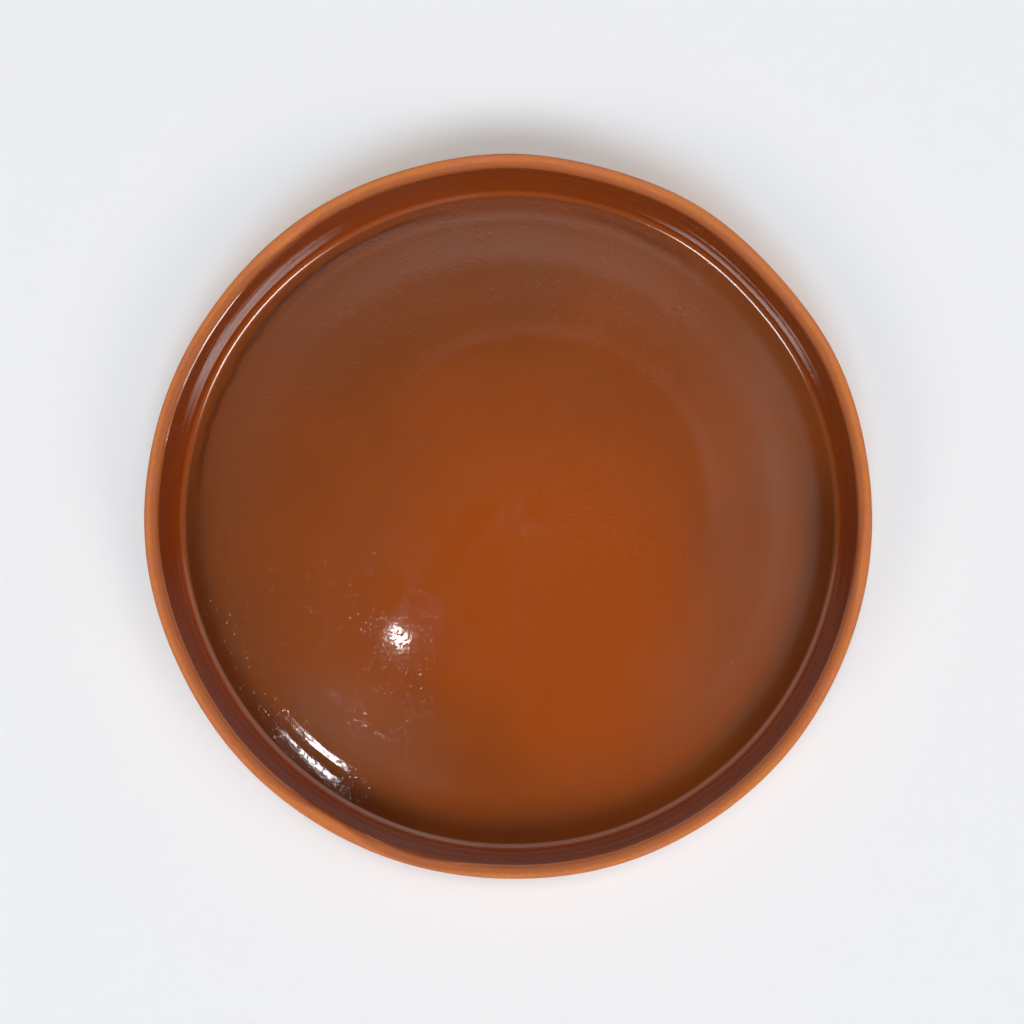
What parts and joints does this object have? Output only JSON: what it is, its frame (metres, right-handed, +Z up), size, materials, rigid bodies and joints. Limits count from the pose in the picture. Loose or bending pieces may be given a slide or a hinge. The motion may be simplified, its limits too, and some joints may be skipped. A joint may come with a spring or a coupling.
{
  "type": "glazed clay baking dish",
  "caption": "Round shallow baking dish of red clay with a flat base, a low upright wall and a rounded bare lip, glazed inside.",
  "frame": {"origin": "centre of the flat base, on the surface that the dish stands on", "axes": "+Z up along the axis the dish was thrown round; the lightly waved part of the rim lies between +X and +Y"},
  "size_m": [0.3204, 0.3194, 0.046],
  "materials": {
    "glazed_clay": "glossy amber-brown glaze inside, darker where it pools at the wall; matte orange clay on the lip, outside and base"
  },
  "bodies": {
    "root": {"clay_dish": "glazed_clay"}
  },
  "joints": []
}
